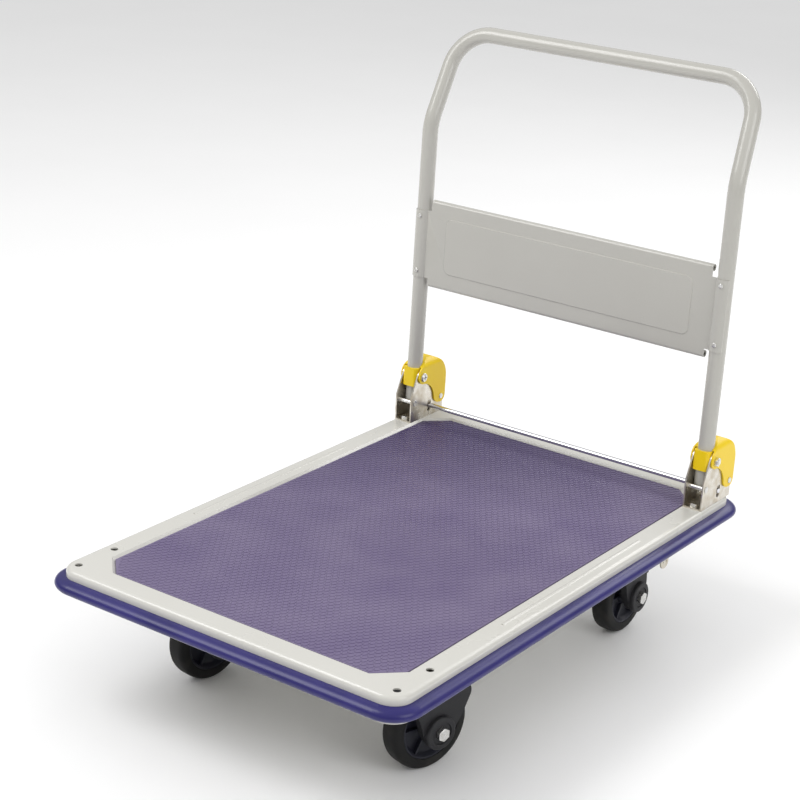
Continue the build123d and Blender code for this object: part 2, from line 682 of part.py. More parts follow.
def swivel_fork():
    top = CASTER_PLATE_TOP - CASTER_PLATE - WHEEL_R
    body = side_prism(swivel_leg(), -LEG_OUTER, LEG_OUTER)
    reach = rod_z(0, -TRAIL, -80, top, HEAD_R - 0.6) + block(-40, 40, -TRAIL, 60, -80, top)
    body = body & reach
    body = body + rod_z(0, -TRAIL, 72.0, HEAD_TOP, HEAD_R)
    body = body + rod_z(0, -TRAIL, HEAD_TOP - 1.0, top - 5.0, 33.0)
    for boss in axle_bosses():
        body = body + boss
    slot = rod_x(-LEG_INNER, LEG_INNER, 0, 0, WHEEL_R + 4.0)
    slot = slot + block(-LEG_INNER, LEG_INNER, -90, 0, -60, 20)
    slot = slot + block(-LEG_INNER, LEG_INNER, -1, 70, -60, 47)
    body = body - slot
    body = body - rod_x(-60, 60, 0, 0, AXLE_R)
    body = nut_pockets(body)
    body = body - rod_z(0, -TRAIL, 40, top + 5, 6.0 + RUN)
    body = body - rod_z(0, -TRAIL, 40, top - 24.0, 12.5)
    groove = Pos(0, -TRAIL, top - 4.5) * Torus(RACE_R, BALL_R + GAP)
    return body - groove


def swivel_plate():
    """The swivel caster's top plate with its pressed race, about the kingpin's axis."""
    z1 = CASTER_PLATE_TOP
    z0 = z1 - CASTER_PLATE
    plate = prism_z(RectangleRounded(CASTER_PLATE_X, CASTER_PLATE_Y, 8), z0, z1)
    plate = plate + rod_z(0, 0, z0 - 4.0, z0, 32.0)
    plate = plate - rod_z(0, 0, z0 - 6, z1 + 1, 6.0)
    for dx, dy in plate_bolt_points():
        plate = plate - rod_z(dx, dy, z0 - 1, z1 + 1, M8_HOLE_R)
    groove = Pos(0, 0, z0 - 4.5) * Torus(RACE_R, BALL_R + GAP)
    return plate - groove


def ball_ring():
    z = CASTER_PLATE_TOP - CASTER_PLATE - 4.5
    balls = []
    for k in range(BALLS):
        angle = 2 * math.pi * k / BALLS
        balls.append(Pos(RACE_R * math.cos(angle), RACE_R * math.sin(angle), z) * Sphere(BALL_R))
    return balls


def kingpin():
    z1 = CASTER_PLATE_TOP
    low = z1 - CASTER_PLATE - 37.0
    pin = rod_z(0, 0, low, z1, 6.0) + rod_z(0, 0, z1, z1 + 4.0, 10.0)
    nut_z = z1 - CASTER_PLATE - 24.0 - 10.3
    nut = Pos(0, 0, nut_z) * hex_nut(6.0, 18.0, 10.0)
    return pin, nut


def rigid_fork():
    top = CASTER_PLATE_TOP - CASTER_PLATE - WHEEL_R
    body = side_prism(rigid_leg(), -LEG_OUTER, LEG_OUTER)
    step = block(-LEG_OUTER - 2.0, LEG_OUTER + 2.0, -60, 60, 32.5, top)
    body = body + (side_prism(rigid_leg(), -LEG_OUTER - 2.0, LEG_OUTER + 2.0) & step)
    for boss in axle_bosses():
        body = body + boss
    slot = rod_x(-LEG_INNER, LEG_INNER, 0, 0, WHEEL_R + 4.0)
    slot = slot + block(-LEG_INNER, LEG_INNER, -90, 90, -60, 20)
    body = body - slot
    body = body - rod_x(-60, 60, 0, 0, AXLE_R)
    for dx, dy in plate_bolt_points():
        body = body - rod_z(dx, dy - RIGID_OFFSET, HEAD_TOP, top + 1, 8.5)
    return nut_pockets(body)


def rigid_plate():
    z1 = CASTER_PLATE_TOP
    z0 = z1 - CASTER_PLATE
    plate = prism_z(RectangleRounded(CASTER_PLATE_X, CASTER_PLATE_Y, 8), z0, z1)
    for dx, dy in plate_bolt_points():
        plate = plate - rod_z(dx, dy, z0 - 1, z1 + 1, M8_HOLE_R)
    return plate


def axle_set():
    """Axle bolt with its head on the right and its nut on the left."""
    seat = AXLE_SEAT
    length = 2 * seat + 8.0
    bolt = Pos(seat, 0, 0) * Rot(0, 90, 0) * hex_bolt(AXLE_R, 17.0, 6.4, length)
    nut = Pos(-seat, 0, 0) * Rot(0, -90, 0) * hex_nut(AXLE_R, 17.0, 7.0)
    return bolt, nut


def plate_fasteners():
    bolts = []
    nuts = []
    seat = CASTER_PLATE_TOP - CASTER_PLATE
    for x, y in swivel_points() + rigid_points():
        for dx, dy in plate_bolt_points():
            bolt = Pos(x + dx, y + dy, seat) * Rot(180, 0, 0) * hex_bolt(BOLT_R, M8_FLATS, M8_HEAD, PLATE_BOLT)
            bolts.append(bolt)
            nuts.append(Pos(x + dx, y + dy, CHANNEL_BOTTOM + CHANNEL_SHEET) * hex_nut(BOLT_R, M8_FLATS, M8_NUT))
    return group(bolts), group(nuts)


def swivel_points():
    return [(-CASTER_X, -CASTER_Y), (CASTER_X, -CASTER_Y)]


def rigid_points():
    return [(-CASTER_X, CASTER_Y), (CASTER_X, CASTER_Y)]


def side_lug():
    """A small drilled lug with a half-round end under the right-hand lip."""
    x = 283.0
    y = 239.0
    half = 11.0
    z = SKIRT_BOTTOM - 11.0
    tab = rod_x(x - 1.2, x + 1.2, y, z, half) + block(x - 1.2, x + 1.2, y - half, y + half, z, SKIRT_BOTTOM)
    foot = block(x - 12.0, x + 1.2, y - half, y + half, SKIRT_BOTTOM - 2.4, SKIRT_BOTTOM)
    for dy in (-4.5, 4.5):
        tab = tab - rod_x(x - 5, x + 5, y + dy, z, 1.5)
    return tab + foot


# ---------------------------------------------------------------- build
def build_deck():
    save("deck_plate", deck_plate())
    save("anti_slip_mat", anti_slip_mat())
    save("bumper", bumper())
    save("front_channel", channel_holes(cross_channel(-CASTER_Y), swivel_points(), 11.0))
    save("rear_channel", channel_holes(cross_channel(CASTER_Y), rigid_points(), 0))
    for name, side in SIDES.items():
        save("handle_bracket_" + name, handle_bracket(side))
    save("stop_pins", stop_pins())
    bolts, washers, nuts, sleeves = bracket_fasteners()
    save("bracket_bolts", bolts)
    save("bracket_washers", washers)
    save("bracket_nuts", nuts)
    save("spacer_sleeves", sleeves)
    save("side_lug", side_lug())
    bolts, nuts = plate_fasteners()
    save("caster_bolts", bolts)
    save("caster_nuts", nuts)


def build_lock():
    save("lock_rod", lock_rod())
    save("rod_clip", rod_clip())
    save("lock_dogs", lock_dogs())
    save("lock_springs", lock_springs())


def build_handle():
    save("handle_tube", handle_tube())
    save("back_panel", back_panel())
    save("panel_screws", panel_screws())
    for name, side in SIDES.items():
        save("hinge_cover_" + name, hinge_cover(side))
    save("cover_pins", cover_pins())
    bolts, nuts = hinge_bolts()
    save("hinge_bolts", bolts)
    save("hinge_nuts", nuts)


def build_wheel(name, place):
    core, tyre, bushes = wheel_parts()
    save("wheel_core_" + name, place * core)
    save("tyre_" + name, place * tyre)
    save("wheel_bushes_" + name, place * bushes)


def build_casters():
    axle_bolt, axle_nut = axle_set()
    rigid_bolts = []
    rigid_nuts = []
    for name, side in SIDES.items():
        place = place_caster(side * CASTER_X, CASTER_Y + RIGID_OFFSET, 0)
        save("rigid_fork_" + name, place * rigid_fork())
        save("rigid_plate_" + name, Pos(side * CASTER_X, CASTER_Y, 0) * rigid_plate())
        rigid_bolts.append(place * axle_bolt)
        rigid_nuts.append(place * axle_nut)
        build_wheel("rear_" + name, place)
    save("rigid_axle_bolts", group(rigid_bolts))
    save("rigid_axle_nuts", group(rigid_nuts))
    kingpins = []
    kingpin_nuts = []
    balls = []
    for name, side in SIDES.items():
        yaw = YAW_RIGHT if side > 0 else YAW_LEFT
        a = math.radians(yaw)
        x = side * CASTER_X - TRAIL * math.sin(a)
        y = -CASTER_Y + TRAIL * math.cos(a)
        place = place_caster(x, y, yaw)
        save("swivel_fork_" + name, place * swivel_fork())
        save("swivel_axle_bolt_" + name, place * axle_bolt)
        save("swivel_axle_nut_" + name, place * axle_nut)
        build_wheel("front_" + name, place)
        post = Pos(side * CASTER_X, -CASTER_Y, 0)
        save("swivel_plate_" + name, post * swivel_plate())
        pin, nut = kingpin()
        kingpins.append(post * pin)
        kingpin_nuts.append(post * nut)
        balls.extend(post * ball for ball in ball_ring())
    save("kingpins", group(kingpins))
    save("kingpin_nuts", group(kingpin_nuts))
    save("swivel_balls", group(balls))


os.makedirs(OUT, exist_ok=True)
build_deck()
build_lock()
build_handle()
build_casters()
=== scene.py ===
import json
import math

import bmesh
import bpy
from mathutils import Matrix, Vector


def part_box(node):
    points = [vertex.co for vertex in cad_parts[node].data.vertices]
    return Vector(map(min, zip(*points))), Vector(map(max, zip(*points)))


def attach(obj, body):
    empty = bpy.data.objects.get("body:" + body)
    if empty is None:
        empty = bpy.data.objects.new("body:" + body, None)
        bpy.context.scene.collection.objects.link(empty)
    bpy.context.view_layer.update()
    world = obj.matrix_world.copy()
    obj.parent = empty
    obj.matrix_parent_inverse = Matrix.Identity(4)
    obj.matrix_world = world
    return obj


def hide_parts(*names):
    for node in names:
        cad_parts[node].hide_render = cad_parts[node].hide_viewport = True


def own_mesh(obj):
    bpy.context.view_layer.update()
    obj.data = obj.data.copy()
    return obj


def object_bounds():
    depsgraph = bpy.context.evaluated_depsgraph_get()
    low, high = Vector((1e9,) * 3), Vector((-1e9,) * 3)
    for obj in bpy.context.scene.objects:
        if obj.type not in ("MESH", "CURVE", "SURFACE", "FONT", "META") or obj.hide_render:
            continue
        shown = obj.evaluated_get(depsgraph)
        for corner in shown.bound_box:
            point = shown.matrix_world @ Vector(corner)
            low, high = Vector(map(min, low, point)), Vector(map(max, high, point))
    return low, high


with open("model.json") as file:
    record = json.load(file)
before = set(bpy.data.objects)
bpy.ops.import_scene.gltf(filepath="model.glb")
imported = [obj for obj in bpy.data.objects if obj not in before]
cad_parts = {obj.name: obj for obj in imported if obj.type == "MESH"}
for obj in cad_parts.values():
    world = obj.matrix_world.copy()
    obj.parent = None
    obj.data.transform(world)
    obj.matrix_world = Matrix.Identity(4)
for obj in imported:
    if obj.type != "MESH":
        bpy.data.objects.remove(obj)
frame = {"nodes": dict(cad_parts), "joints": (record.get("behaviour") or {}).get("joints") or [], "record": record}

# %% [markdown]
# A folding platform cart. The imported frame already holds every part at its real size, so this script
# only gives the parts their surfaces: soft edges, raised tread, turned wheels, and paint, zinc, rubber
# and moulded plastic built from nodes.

cad_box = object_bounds()
nodes = frame["nodes"]
bodies = frame["record"]["behaviour"]["bodies"]
body_of = {node: body for body, members in bodies.items() for node in members}
slot_of = {part["node"]: part["material_slot"] for part in frame["record"]["subparts"]}
MM = 0.001

# %% [markdown]
# Shader sums read best when they look like sums. A wire wraps one socket, and its operators add Math
# nodes. The net it belongs to adds any other node. Both work in shader trees and in geometry trees.


# %% A wire and a net
class Wire:
    def __init__(self, net, socket):
        self.net = net
        self.socket = socket

    def math(self, operation, a, b):
        return self.net.node("ShaderNodeMath", {"operation": operation}, {0: a, 1: b})

    def __add__(self, other):
        return self.math("ADD", self, other)

    def __sub__(self, other):
        return self.math("SUBTRACT", self, other)

    def __rsub__(self, other):
        return self.math("SUBTRACT", other, self)

    def __mul__(self, other):
        return self.math("MULTIPLY", self, other)

    def __gt__(self, other):
        return self.math("GREATER_THAN", self, other)

    __radd__ = __add__
    __rmul__ = __mul__


class Net:
    def __init__(self, tree):
        self.tree = tree

    def node(self, kind, settings=None, inputs=None, out=0):
        made = self.tree.nodes.new(kind)
        for key, value in (settings or {}).items():
            if key == "stops":
                while len(made.color_ramp.elements) < len(value):
                    made.color_ramp.elements.new(1.0)
                for element, (place, level) in zip(made.color_ramp.elements, value):
                    element.position = place
                    element.color = (level, level, level, 1.0)
            else:
                setattr(made, key, value)
        for key, value in (inputs or {}).items():
            if isinstance(value, Wire):
                self.tree.links.new(value.socket, made.inputs[key])
            else:
                made.inputs[key].default_value = value
        return Wire(self, made.outputs[out])


# %% [markdown]
# A finish is one material. Constants go straight onto the shader's sockets. What varies over the
# surface, such as colour, roughness and relief, is fed by noise on object coordinates, so that
# it keeps the same scale on every part.


# %% A finish
class Finish(Net):
    def __init__(self, name, **constants):
        self.material = bpy.data.materials.new(name)
        self.material.use_nodes = True
        super().__init__(self.material.node_tree)
        self.shader = self.tree.nodes["Principled BSDF"]
        for key, value in constants.items():
            self.shader.inputs[key.replace("_", " ")].default_value = value
        self.place = self.node("ShaderNodeTexCoord", out="Object")

    def noise(self, scale, detail=3.0, stretch=(1.0, 1.0, 1.0)):
        where = self.node("ShaderNodeMapping", inputs={"Vector": self.place, "Scale": stretch})
        return self.node("ShaderNodeTexNoise", inputs={"Vector": where, "Scale": scale, "Detail": detail})

    def ramp(self, wire, *stops):
        return self.node("ShaderNodeValToRGB", {"stops": stops}, {0: wire})

    def mix(self, mask, low, high):
        return self.node("ShaderNodeMix", {"data_type": "RGBA"}, {0: mask, 6: low, 7: high}, out=2)

    def feed(self, **wires):
        for key, wire in wires.items():
            self.tree.links.new(wire.socket, self.shader.inputs[key.replace("_", " ")])

    def relief(self, height, distance, strength=1.0):
        sizes = {"Height": height, "Distance": distance, "Strength": strength}
        bump = self.node("ShaderNodeBump", inputs=sizes)
        self.feed(Normal=bump)


def rgba(r, g, b):
    return (r, g, b, 1.0)


# %% [markdown]
# Powder coat is sprayed as dust and baked, so it flows into a fine orange peel. The deck and the
# handle have the same kind of coat, the handle's a little darker and coarser. Fine grime settles
# unevenly and takes a little gloss away.


# %% Powder coat
def powder_coat(name, clean, dusty, rough, peel):
    coat = Finish(name, Coat_Roughness=0.12, Specular_IOR_Level=0.5)
    cloud = coat.noise(7.0, 5.0)
    speck = coat.noise(900.0, 2.0)
    tone = coat.ramp(cloud * 0.6 + speck * 0.4, (0.20, 0.0), (0.85, 1.0))
    coat.feed(Base_Color=coat.mix(tone, clean, dusty), Roughness=rough + cloud * 0.06)
    coat.feed(Coat_Weight=0.36 - cloud * 0.1)
    coat.relief(coat.noise(peel, 2.0), 0.00005)
    return coat.material


cream = powder_coat("cream_powder_coat", rgba(0.645, 0.635, 0.595), rgba(0.590, 0.580, 0.535), 0.24, 420.0)
greige = powder_coat("handle_powder_coat", rgba(0.505, 0.495, 0.455), rgba(0.460, 0.450, 0.410), 0.22, 360.0)
print("coats:", cream.name, greige.name)

# %% [markdown]
# Zinc plate is bright but never even: it is drawn into soft mottles and yellows a little where the
# passivation is thicker. Brackets show more of it than bolts. Chrome is smooth, with only faint
# polishing lines along the rod.


# %% Bare metals
def zinc_plate(name, bright, warm, rough, mottle):
    plate = Finish(name, Metallic=1.0)
    patch = plate.ramp(plate.noise(mottle, 4.0), (0.36, 0.0), (0.66, 1.0))
    fine = plate.noise(600.0, 3.0, (1.0, 1.0, 0.12))
    plate.feed(Base_Color=plate.mix(patch, bright, warm), Roughness=rough + patch * 0.14 + fine * 0.08)
    plate.relief(fine, 0.00003)
    return plate.material


def chrome_plate():
    rod = Finish("rod_chrome", Metallic=1.0)
    lines = rod.noise(160.0, 2.0, (0.02, 1.0, 1.0))
    rod.feed(Base_Color=rod.mix(lines, rgba(0.80, 0.80, 0.82), rgba(0.66, 0.66, 0.70)))
    rod.feed(Roughness=0.07 + lines * 0.1)
    rod.relief(lines, 0.00001)
    return rod.material


bracket_zinc = zinc_plate("bracket_zinc", rgba(0.74, 0.71, 0.645), rgba(0.60, 0.54, 0.44), 0.22, 70.0)
bolt_zinc = zinc_plate("fastener_zinc", rgba(0.80, 0.80, 0.79), rgba(0.68, 0.67, 0.64), 0.18, 160.0)
rod_chrome = chrome_plate()
print("metals:", bracket_zinc.name, bolt_zinc.name, rod_chrome.name)

# %% [markdown]
# The bumper and the hinge covers are moulded and glossy, the forks and wheel centres are matt nylon
# with a spark-eroded grain, and the tyres are rubber that has picked up dust on its tread.


# %% Moulded plastics and rubber
def moulded(name, deep, light, rough, grain_scale, grain, sheen):
    skin = Finish(name, Specular_IOR_Level=sheen)
    cloud = skin.noise(16.0, 4.0)
    grains = skin.noise(grain_scale, 2.0)
    tone = skin.ramp(cloud * 0.7 + grains * 0.3, (0.36, 0.0), (0.66, 1.0))
    skin.feed(Base_Color=skin.mix(tone, deep, light), Roughness=rough + cloud * 0.12)
    skin.relief(grains, grain)
    return skin.material


def tread_rubber():
    rubber = Finish("tyre_rubber", Specular_IOR_Level=0.22)
    dust = rubber.ramp(rubber.noise(38.0, 5.0), (0.48, 0.0), (0.78, 1.0))
    grains = rubber.noise(1100.0, 2.0)
    rubber.feed(Base_Color=rubber.mix(dust, rgba(0.008, 0.008, 0.008), rgba(0.034, 0.032, 0.029)))
    rubber.feed(Roughness=0.5 + dust * 0.25 + grains * 0.1)
    rubber.relief(grains, 0.00006)
    return rubber.material


indigo = moulded(
    "bumper_plastic", rgba(0.018, 0.015, 0.120), rgba(0.030, 0.024, 0.165), 0.24, 900.0, 0.00002, 0.38,
)
yellow = moulded(
    "cover_plastic", rgba(0.86, 0.58, 0.004), rgba(0.90, 0.66, 0.008), 0.28, 1200.0, 0.00003, 0.4,
)
nylon = moulded(
    "fork_nylon", rgba(0.014, 0.014, 0.016), rgba(0.026, 0.026, 0.029), 0.46, 1500.0, 0.00009, 0.3,
)
wheel_nylon = moulded(
    "wheel_nylon", rgba(0.013, 0.014, 0.022), rgba(0.022, 0.023, 0.036), 0.40, 1400.0, 0.00006, 0.3,
)
rubber = tread_rubber()
print("mouldings:", indigo.name, yellow.name, nylon.name, wheel_nylon.name, rubber.name)

# %% [markdown]
# The mat is vinyl. Its colour shifts between blue-violet and grey-violet where feet and loads have
# dulled it. It keeps a low sheen, and a painted shade darkens it to a deep indigo towards its corner by the
# left-hand hinge.


# %% Vinyl
def mat_vinyl():
    vinyl = Finish("mat_vinyl", Specular_IOR_Level=0.5)
    worn = vinyl.ramp(vinyl.noise(9.0, 6.0), (0.30, 0.0), (0.74, 1.0))
    grains = vinyl.noise(1300.0, 2.0)
    dulled = vinyl.mix(worn, rgba(0.142, 0.110, 0.220), rgba(0.192, 0.158, 0.262))
    x = vinyl.node("ShaderNodeSeparateXYZ", inputs={0: vinyl.place})
    y = Wire(vinyl, x.socket.node.outputs[1])
    # painted shade: a gradient that darkens the mat to deep indigo towards its far corner by the left-hand hinge
    corner = vinyl.ramp(y - x * 0.6, (0.10, 0.0), (0.46, 1.0))
    vinyl.feed(Base_Color=vinyl.mix(corner * 0.9, dulled, rgba(0.052, 0.036, 0.105)))
    vinyl.feed(Roughness=0.34 + worn * 0.14 + grains * 0.06)
    vinyl.relief(grains, 0.00005)
    return vinyl.material


vinyl = mat_vinyl()
print("mat:", vinyl.name)

# %% [markdown]
# The CAD parts have knife edges. Real pressed, moulded and turned parts catch the light along a small
# radius, so each part that is seen close up is copied, its flat facets are joined, and a small bevel
# runs along its sharp edges. The frame's own mesh stays as it is, hidden behind the copy.


# %% Soft edges
def settle(piece, body, slot, *replaced):
    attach(piece, body)
    if replaced:
        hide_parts(*replaced)
    print("  ", piece.name, "rides on", body, "with", len(piece.data.polygons), "faces")


def new_piece(name, mesh, material):
    mesh.materials.clear()
    mesh.materials.append(material)
    piece = bpy.data.objects.new(name, mesh)
    bpy.context.scene.collection.objects.link(piece)
    return piece


def soften(node, material, width, angle=34.0):
    mesh = bpy.data.meshes.new(node + "_piece")
    form = bmesh.new()
    form.from_mesh(nodes[node].data)
    bmesh.ops.remove_doubles(form, verts=form.verts, dist=0.003 * MM)
    bmesh.ops.dissolve_limit(form, angle_limit=math.radians(0.5), verts=form.verts, edges=form.edges)
    form.to_mesh(mesh)
    form.free()
    mesh.polygons.foreach_set("use_smooth", [True] * len(mesh.polygons))
    mesh.set_sharp_from_angle(angle=math.radians(angle))
    piece = new_piece(node + "_piece", mesh, material)
    bevel = piece.modifiers.new("soft_edge", "BEVEL")
    bevel.width = width * MM
    bevel.segments = 2
    bevel.limit_method = "ANGLE"
    bevel.angle_limit = math.radians(angle)
    bevel.harden_normals = True
    settle(piece, body_of[node], slot_of[node], node)
    return piece


# %% [markdown]
# Most parts keep their CAD shape and only need their finish. The painted deck, the handle tube and the
# bumper already have their radii in the CAD model.

# %% Finishes on the CAD parts
finish_of_slot = {
    "cream_paint": cream, "handle_paint": greige, "mat_vinyl": vinyl, "bumper_plastic": indigo,
    "cover_plastic": yellow, "bracket_zinc": bracket_zinc, "rod_chrome": rod_chrome, "fork_nylon": nylon,
    "tyre_rubber": rubber, "wheel_nylon": wheel_nylon, "fastener_zinc": bolt_zinc,
}
for node, part in nodes.items():
    part.data.materials.clear()
    part.data.materials.append(finish_of_slot[slot_of[node]])
print("finished", len(nodes), "CAD parts")

# %% Parts that get soft edges
EDGES = {
    "handle_bracket_left": 0.5, "handle_bracket_right": 0.5, "hinge_cover_left": 0.9, "hinge_cover_right": 0.9,
    "swivel_fork_left": 1.0, "swivel_fork_right": 1.0, "rigid_fork_left": 1.0, "rigid_fork_right": 1.0,
    "bracket_bolts": 0.4, "bracket_nuts": 0.4, "caster_bolts": 0.4, "rigid_axle_bolts": 0.5,
    "rigid_axle_nuts": 0.5, "swivel_axle_bolt_left": 0.5, "swivel_axle_bolt_right": 0.5,
    "swivel_axle_nut_left": 0.5, "swivel_axle_nut_right": 0.5, "side_lug": 0.4, "back_panel": 0.3,
    "stop_pins": 0.6, "hinge_nuts": 0.4, "cover_pins": 0.6,
}
for node, width in EDGES.items():
    soften(node, finish_of_slot[slot_of[node]], width)

# %% [markdown]
# The mat's tread is a weave of short raised bars: one set leans one way, and the set between leans
# the other way. A bar on every point of a staggered lattice is a job for Geometry Nodes. The tree
# makes two lattices, drops the points outside the mat's clipped corners, and stands a bar on each.


# %% Geometry tree helpers
class Tree(Net):
    """A geometry tree with named inputs; its group input is read as a wire by name."""

    def __init__(self, name, **inputs):
        super().__init__(bpy.data.node_groups.new(name, "GeometryNodeTree"))
        self.defaults = inputs
        for key in inputs:
            self.tree.interface.new_socket(name=key, in_out="INPUT", socket_type="NodeSocketFloat")
        self.tree.interface.new_socket(name="Geometry", in_out="OUTPUT", socket_type="NodeSocketGeometry")
        self.entry = self.tree.nodes.new("NodeGroupInput")

    def __getitem__(self, key):
        return Wire(self, self.entry.outputs[key])

    def vector(self, x=0.0, y=0.0, z=0.0):
        return self.node("ShaderNodeCombineXYZ", inputs={0: x, 1: y, 2: z})

    def join(self, *parts):
        joined = self.node("GeometryNodeJoinGeometry")
        for part in parts:
            self.tree.links.new(part.socket, joined.socket.node.inputs[0])
        return joined

    def finish(self, geometry, material):
        solid = self.node("GeometryNodeRealizeInstances", inputs={0: geometry})
        done = self.node("GeometryNodeSetMaterial", inputs={0: solid, "Material": material})
        leave = self.tree.nodes.new("NodeGroupOutput")
        self.tree.links.new(done.socket, leave.inputs[0])

    def grow(self, name, material):
        """Runs the tree on an empty mesh and returns the result as a plain piece."""
        host = bpy.data.objects.new(name + "_host", bpy.data.meshes.new(name + "_host"))
        bpy.context.scene.collection.objects.link(host)
        modifier = host.modifiers.new("tree", "NODES")
        modifier.node_group = self.tree
        for item in self.tree.interface.items_tree:
            if item.in_out == "INPUT":
                modifier[item.identifier] = self.defaults[item.name]
        ready = host.evaluated_get(bpy.context.evaluated_depsgraph_get())
        mesh = bpy.data.meshes.new_from_object(ready)
        bpy.data.objects.remove(host)
        return new_piece(name, mesh, material)


# %% One raised bar
def bar_mesh(length, width, height):
    """An open-bottomed bar with sloping sides, standing on z = 0."""
    form = bmesh.new()
    rings = []
    for scale, z in ((1.0, -0.3 * height), (0.82, 0.8 * height), (0.55, height)):
        x = length / 2 - width / 2 * (1 - scale)
        y = width / 2 * scale
        rings.append([form.verts.new((sx * x, sy * y, z)) for sx, sy in ((-1, -1), (1, -1), (1, 1), (-1, 1))])
    for low, high in zip(rings, rings[1:]):
        for k in range(4):
            form.faces.new((low[k], low[(k + 1) % 4], high[(k + 1) % 4], high[k]))
    form.faces.new(rings[-1])
    form.faces.new(reversed(rings[0]))
    mesh = bpy.data.meshes.new("bar")
    form.to_mesh(mesh)
    form.free()
    return mesh


# %% The tread
mat_low, mat_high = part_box("anti_slip_mat")
ROW = 7.6 * MM
PITCH = 10.4 * MM
BAR_TURN = math.atan2(PITCH / 2, ROW)
MAT_CUT = 33.0 * MM
EDGE_LAND = 3.0 * MM
BAR_LENGTH = 6.4 * MM
BAR_WIDTH = 2.1 * MM
BAR_HEIGHT = 0.8 * MM
BAR_SINK = 0.1 * MM


def tread_tree():
    half_x = mat_high.x - EDGE_LAND
    half_y = mat_high.y - EDGE_LAND
    tree = Tree("mat_tread", Pitch=PITCH, Row=ROW, Half_width=half_x, Half_length=half_y, Cut=MAT_CUT)
    bar = bpy.data.objects.new("tread_bar", bar_mesh(BAR_LENGTH, BAR_WIDTH, BAR_HEIGHT))
    bar_info = tree.node("GeometryNodeObjectInfo", inputs={"Object": bar}, out="Geometry")
    columns = int(2 * mat_high.x / PITCH) + 1
    rows = int(mat_high.y / ROW) + 1
    sets = []
    for turn, shift_x, shift_y in ((1, 0, 0), (1, 0.5, 1), (-1, 0.5, 0), (-1, 0, 1)):
        grid = tree.node(
            "GeometryNodeMeshGrid",
            inputs={"Size X": tree["Pitch"] * columns, "Size Y": tree["Row"] * 2 * (rows - 1),
                    "Vertices X": columns + 1, "Vertices Y": rows},
        )
        shift = tree.vector(tree["Pitch"] * shift_x, tree["Row"] * shift_y, mat_high.z - BAR_SINK)
        moved = tree.node("GeometryNodeSetPosition", inputs={"Geometry": grid, "Offset": shift})
        place = tree.node("GeometryNodeInputPosition")
        split = tree.node("ShaderNodeSeparateXYZ", inputs={0: place})
        x = tree.node("ShaderNodeMath", {"operation": "ABSOLUTE"}, {0: split})
        y_raw = Wire(tree, split.socket.node.outputs[1])
        y = tree.node("ShaderNodeMath", {"operation": "ABSOLUTE"}, {0: y_raw})
        outside = (x > tree["Half_width"]) + (y > tree["Half_length"])
        outside = outside + (x + y > tree["Half_width"] + tree["Half_length"] - tree["Cut"])
        kept = tree.node("GeometryNodeDeleteGeometry", inputs={"Geometry": moved, "Selection": outside})
        angle = turn * (math.pi / 2 + BAR_TURN)
        stood = tree.node(
            "GeometryNodeInstanceOnPoints",
            inputs={"Points": kept, "Instance": bar_info, "Rotation": (0.0, 0.0, angle)},
        )
        sets.append(stood)
    tree.finish(tree.join(*sets), vinyl)
    return tree, bar


tread_nodes, bar = tread_tree()
tread = tread_nodes.grow("mat_tread", vinyl)
bpy.data.objects.remove(bar)
settle(tread, body_of["anti_slip_mat"], "mat_vinyl")

# %% [markdown]
# Tyres and wheel centres are round, so each is one profile turned about the axle. The tyre's profile
# is a squared-off curve: flat across the tread, full at the shoulders. The centre has a lip against the
# tyre, a deep dish and a hub.


# %% Turned parts
def turned(name, profile, material, place, segments=96):
    """Turns a closed profile of (x along the axle, radius) about the X axis and moves it to its place."""
    form = bmesh.new()
    rings = []
    for k in range(segments):
        angle = 2 * math.pi * k / segments
        rings.append([form.verts.new((x, r * math.cos(angle), r * math.sin(angle))) for x, r in profile])
    count = len(profile)
    for k in range(segments):
        here, there = rings[k], rings[(k + 1) % segments]
        for i in range(count):
            j = (i + 1) % count
            form.faces.new((here[i], here[j], there[j], there[i]))
    bmesh.ops.recalc_face_normals(form, faces=form.faces)
    mesh = bpy.data.meshes.new(name)
    form.to_mesh(mesh)
    form.free()
    mesh.transform(place)
    mesh.polygons.foreach_set("use_smooth", [True] * len(mesh.polygons))
    mesh.set_sharp_from_angle(angle=math.radians(40))
    return new_piece(name, mesh, material)


def wheel_place(name):
    low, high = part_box("tyre_" + name)
    axis = next(Vector(j["axis"]) for j in frame["joints"] if j["child"] == "wheel_" + name)
    turn = Matrix.Rotation(math.atan2(axis.y, axis.x), 4, "Z")
    return Matrix.Translation((low + high) / 2) @ turn


def squared_arc(half, low, high, steps=28, power=0.42):
    points = []
    for k in range(steps + 1):
        a = math.pi * (k / steps - 0.5)
        x = math.copysign(abs(math.sin(a)) ** power, math.sin(a)) * half
        points.append((x, low + (high - low) * math.cos(a) ** power if abs(a) < math.pi / 2 else low))
    return points


# %% [markdown]
# Spokes repeat, so Geometry Nodes place them: one straight rib per point, each turned about the axle by an equal
# step.


# %% Spokes
WHEEL_R = (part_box("tyre_rear_left")[1].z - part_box("tyre_rear_left")[0].z) / 2
TREAD_HALF = (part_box("tyre_rear_left")[1].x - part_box("tyre_rear_left")[0].x) / 2
RIM_R = (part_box("wheel_core_rear_left")[1].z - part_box("wheel_core_rear_left")[0].z) / 2
HUB_HALF = (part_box("wheel_core_rear_left")[1].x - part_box("wheel_core_rear_left")[0].x) / 2
HUB_R = 18.0 * MM
BUSH_R = 9.0 * MM
RIB_THICK = 3.4 * MM
FLOOR_GAP = 0.02 * MM
SPOKES = 6


